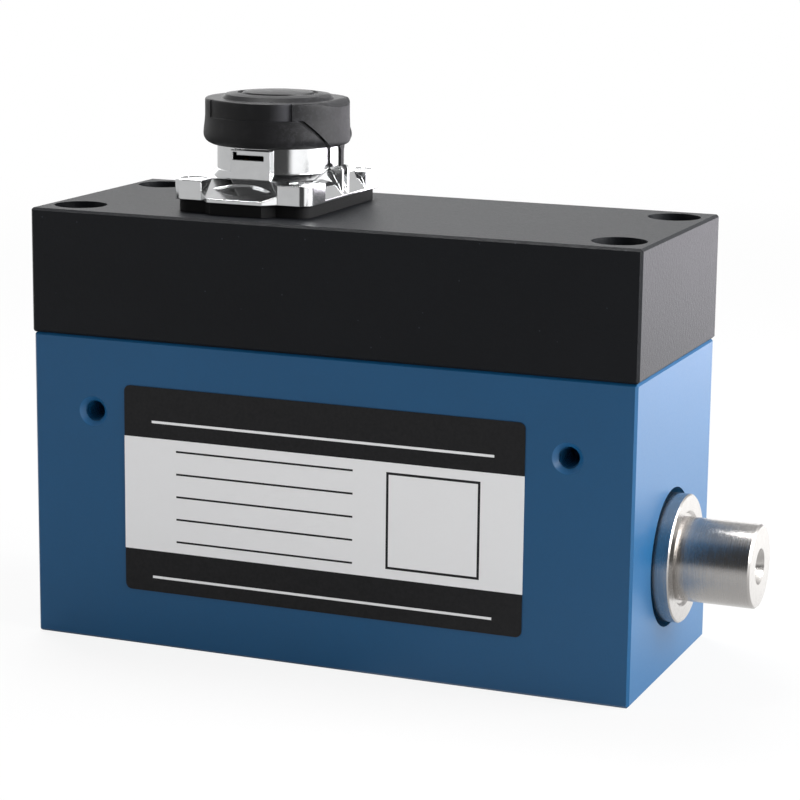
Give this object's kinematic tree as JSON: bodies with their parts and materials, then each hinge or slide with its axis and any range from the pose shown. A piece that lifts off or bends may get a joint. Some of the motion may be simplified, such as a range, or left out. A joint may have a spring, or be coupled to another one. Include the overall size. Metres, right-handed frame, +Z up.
{
  "type": "rotary torque sensor",
  "caption": "Block-shaped rotary torque sensor with a through shaft on ball bearings, a screwed-on cover and a flanged connector under a hinged dust cap.",
  "frame": {"origin": "middle of the base, under the shaft", "axes": "+X along the shaft, -Y out of the labelled front face, +Z up"},
  "size_m": [0.1208, 0.0414, 0.0872],
  "materials": {
    "blue_anodised": "blue anodised, fine satin",
    "black_anodised": "black anodised, fine blasted",
    "screw_steel": "blackened steel",
    "label_film": "printed film, satin",
    "shaft_steel": "fine turned",
    "bearing_steel": "ground",
    "cage_brass": "pressed",
    "gauge_film": "film",
    "lead_enamel": "enamel",
    "drum_resin": "cast resin",
    "ring_metal": "polished",
    "block_resin": "moulded",
    "contact_metal": "plated",
    "board_laminate": "solder resist",
    "spacer_brass": "turned",
    "bright_steel": "plated",
    "resistor_body": "glazed",
    "gasket_rubber": "matt",
    "shell_plating": "plated casting",
    "insert_plastic": "moulded",
    "cap_plastic": "moulded, satin",
    "seal_rubber": "matt"
  },
  "bodies": {
    "sensor_body": {"housing": "blue_anodised", "cover": "black_anodised", "cover_screws": "screw_steel", "name_label": "label_film", "right_outer_ring": "bearing_steel", "left_outer_ring": "bearing_steel", "brush_block": "block_resin", "brushes": "contact_metal", "terminal_board": "board_laminate", "board_spacers": "spacer_brass", "board_screws": "bright_steel", "board_resistors": "resistor_body", "connector_gasket": "gasket_rubber", "connector_shell": "shell_plating", "connector_insert": "insert_plastic", "connector_pins": "contact_metal", "connector_screws": "bright_steel", "cap_hinge_pin": "bright_steel"},
    "shaft_body": {"shaft": "shaft_steel", "right_collar": "shaft_steel", "left_collar": "shaft_steel", "right_inner_ring": "bearing_steel", "left_inner_ring": "bearing_steel", "strain_gauges": "gauge_film", "gauge_leads": "lead_enamel", "slip_ring_drum": "drum_resin", "slip_rings": "ring_metal"},
    "right_ball_set": {"right_balls": "bearing_steel", "right_cage": "cage_brass"},
    "left_ball_set": {"left_balls": "bearing_steel", "left_cage": "cage_brass"},
    "cap_body": {"dust_cap": "cap_plastic", "cap_seal": "seal_rubber"}
  },
  "joints": [
    {"name": "shaft_spin", "type": "hinge", "parent": "sensor_body", "child": "shaft_body", "pos_m": [0, 0, 0.0184], "axis": [1, 0, 0], "continuous": true},
    {"name": "right_cage_spin", "type": "hinge", "parent": "sensor_body", "child": "right_ball_set", "pos_m": [0, 0, 0.0184], "axis": [1, 0, 0], "continuous": true},
    {"name": "left_cage_spin", "type": "hinge", "parent": "sensor_body", "child": "left_ball_set", "pos_m": [0, 0, 0.0184], "axis": [1, 0, 0], "continuous": true},
    {"name": "cap_flip", "type": "hinge", "parent": "sensor_body", "child": "cap_body", "pos_m": [-0.0059, 0, 0.07515], "axis": [0, 1, 0], "range_deg": [0, 110]}
  ],
  "couplings": [
    {"joint": "right_cage_spin", "follows": "shaft_spin", "ratio": 0.45558},
    {"joint": "left_cage_spin", "follows": "shaft_spin", "ratio": 0.45558}
  ]
}
